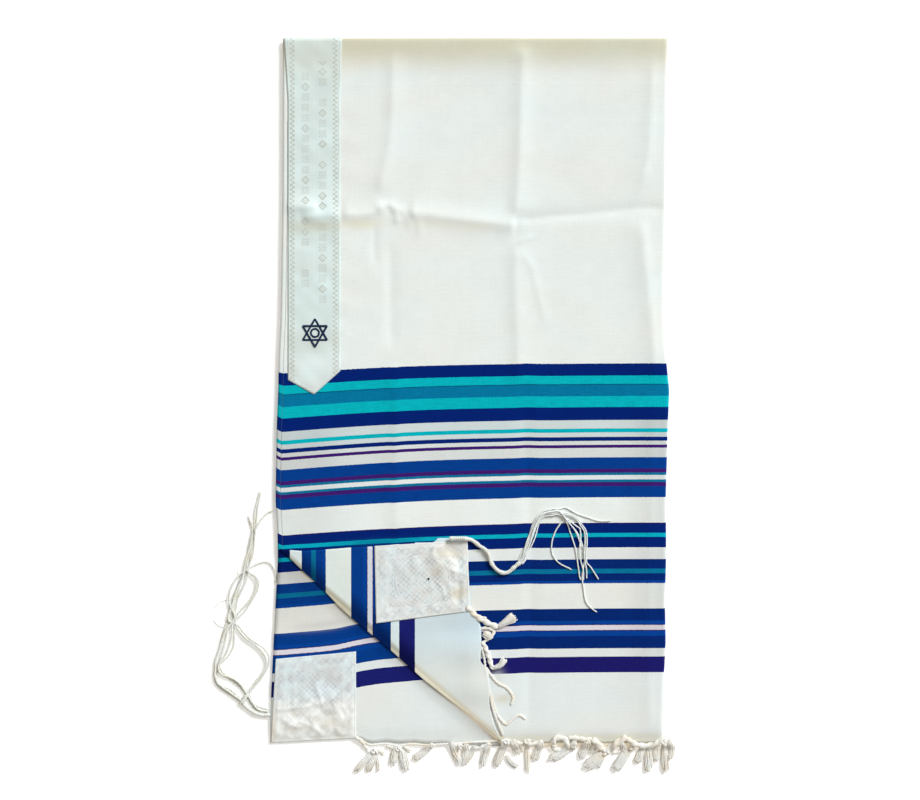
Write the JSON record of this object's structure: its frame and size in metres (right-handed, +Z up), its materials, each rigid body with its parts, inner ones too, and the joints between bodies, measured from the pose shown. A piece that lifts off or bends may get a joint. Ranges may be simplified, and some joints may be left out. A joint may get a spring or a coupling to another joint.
{
  "type": "prayer shawl",
  "caption": "Folded wool tallit prayer shawl with blue stripes, satin neckband, corner patches, knotted fringe and corner tassels, lying flat.",
  "frame": {"origin": "centre of the shawl's outline, on the surface that it lies on", "axes": "+Y from the fringed hem to the neck fold, +X from the neckband's edge to the side fold, +Z up out of the cloth"},
  "size_m": [0.5843, 0.9456, 0.0172],
  "materials": {
    "wool": "matt woven wool, white with blue and turquoise stripes",
    "satin": "soft silver-white satin",
    "yarn": "matt off-white wool yarn"
  },
  "bodies": {
    "root": {"corner_patch_turned": "satin", "corner_patch_under": "satin", "fringe_front": "yarn", "fringe_turned": "yarn", "fringe_under": "yarn", "front_panel": "wool", "hidden_layers": "wool", "neckband": "satin", "tassel_left_arc": "yarn", "tassel_left_inner": "yarn", "tassel_left_loop": "yarn", "tassel_left_lower": "yarn", "tassel_left_main": "yarn", "tassel_left_side": "yarn", "tassel_left_tip_left": "yarn", "tassel_left_tip_long": "yarn", "tassel_left_tip_right": "yarn", "tassel_left_winding": "yarn", "tassel_right_fan": "yarn", "tassel_right_far": "yarn", "tassel_right_hook": "yarn", "tassel_right_inner": "yarn", "tassel_right_main": "yarn", "tassel_right_tip_long": "yarn", "tassel_right_tip_out": "yarn", "tassel_right_tip_short": "yarn", "tassel_right_winding": "yarn", "under_panel": "wool"}
  },
  "joints": []
}
